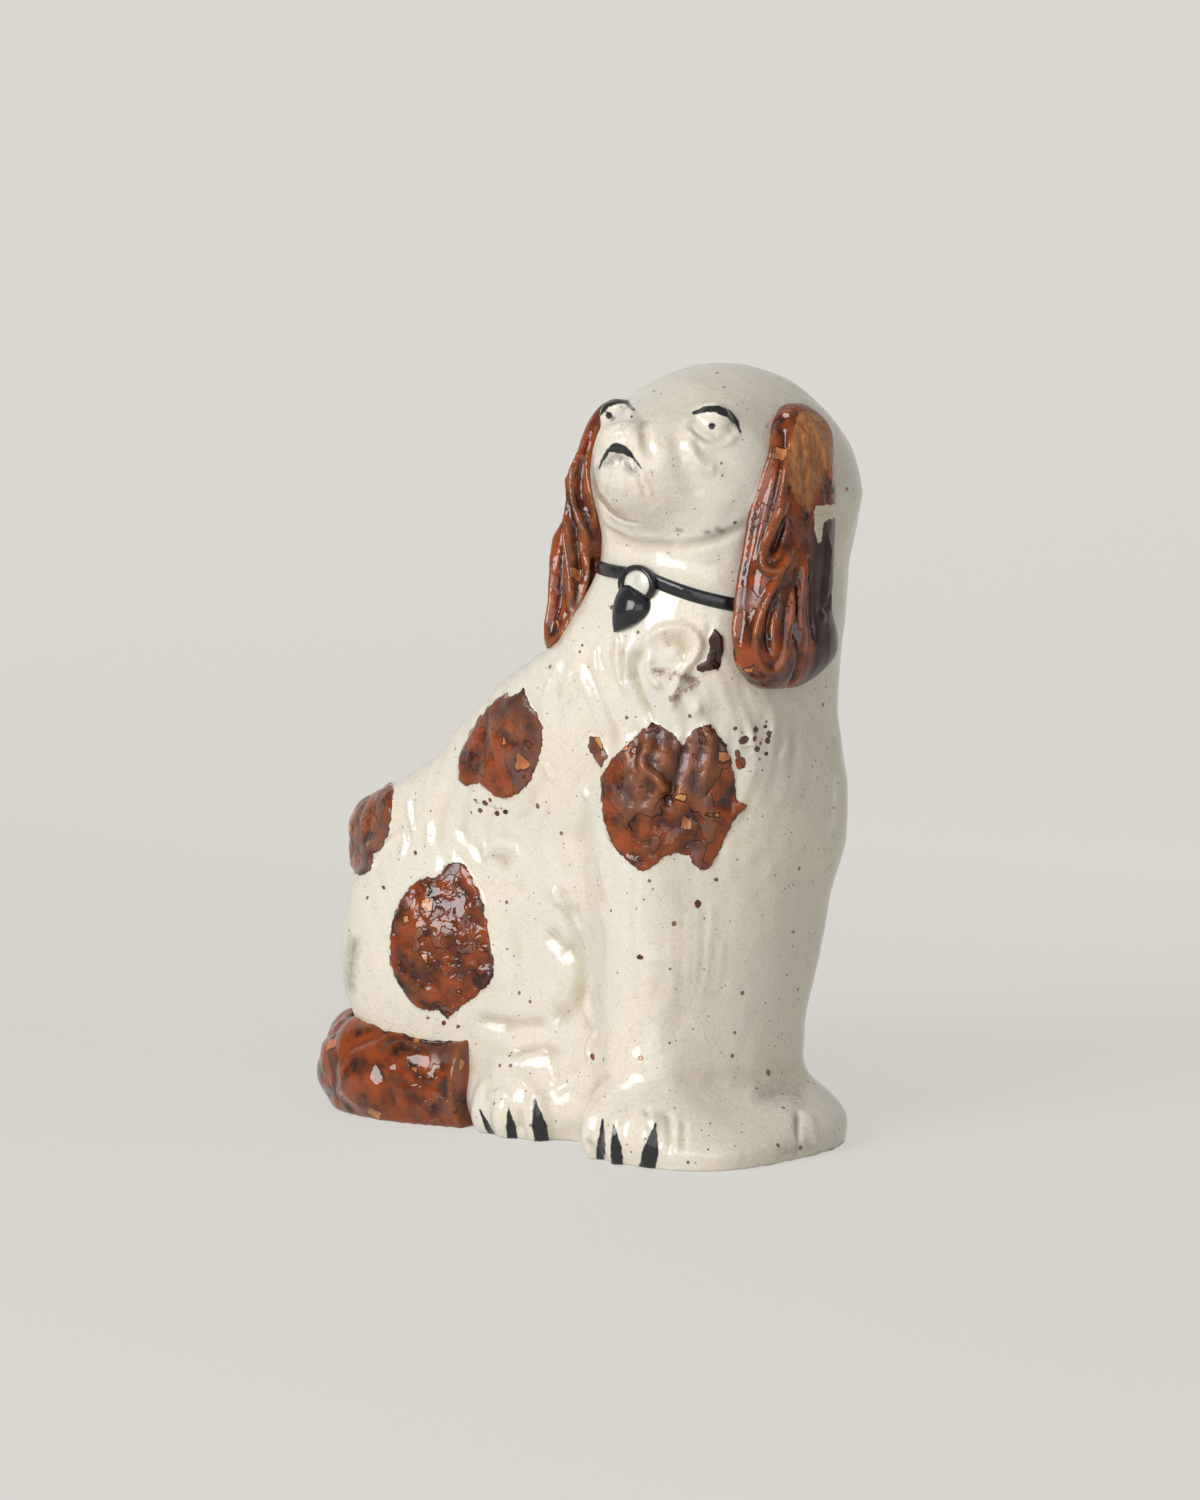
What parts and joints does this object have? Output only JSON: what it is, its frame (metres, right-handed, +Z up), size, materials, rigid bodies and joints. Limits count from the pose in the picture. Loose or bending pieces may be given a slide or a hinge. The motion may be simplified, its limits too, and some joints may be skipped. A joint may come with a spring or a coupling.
{
  "type": "ceramic dog figurine",
  "caption": "Seated spaniel figurine in cream-glazed earthenware, hollow and press-moulded, with brown ears, tail and patches, a collar with a locket and a flat open-rimmed foot.",
  "frame": {"origin": "middle of the bounding box's bottom, on the surface that the foot rim stands on", "axes": "+Z up; -Y where the face looks; +X towards the forelegs and chest, -X towards the tail"},
  "size_m": [0.1836, 0.1052, 0.2279],
  "materials": {
    "cream_glaze": "cream lead glaze over buff earthenware, with iron specks",
    "brown_glaze": "brown treacle glaze, glossy, thin and orange on the high places",
    "black_paint": "black enamel, glossy",
    "white_enamel": "white glaze with a grey reflection",
    "bare_clay": "unglazed buff earthenware"
  },
  "bodies": {
    "root": {"front_shell": "cream_glaze", "back_shell": "cream_glaze", "base_slab": "bare_clay", "seam_strip": "bare_clay", "left_ear": "brown_glaze", "right_ear": "brown_glaze", "tail": "brown_glaze", "collar": "black_paint", "locket_rim": "black_paint", "locket_stone": "white_enamel", "locket_drop": "black_paint", "vent_rim": "cream_glaze"}
  },
  "joints": []
}
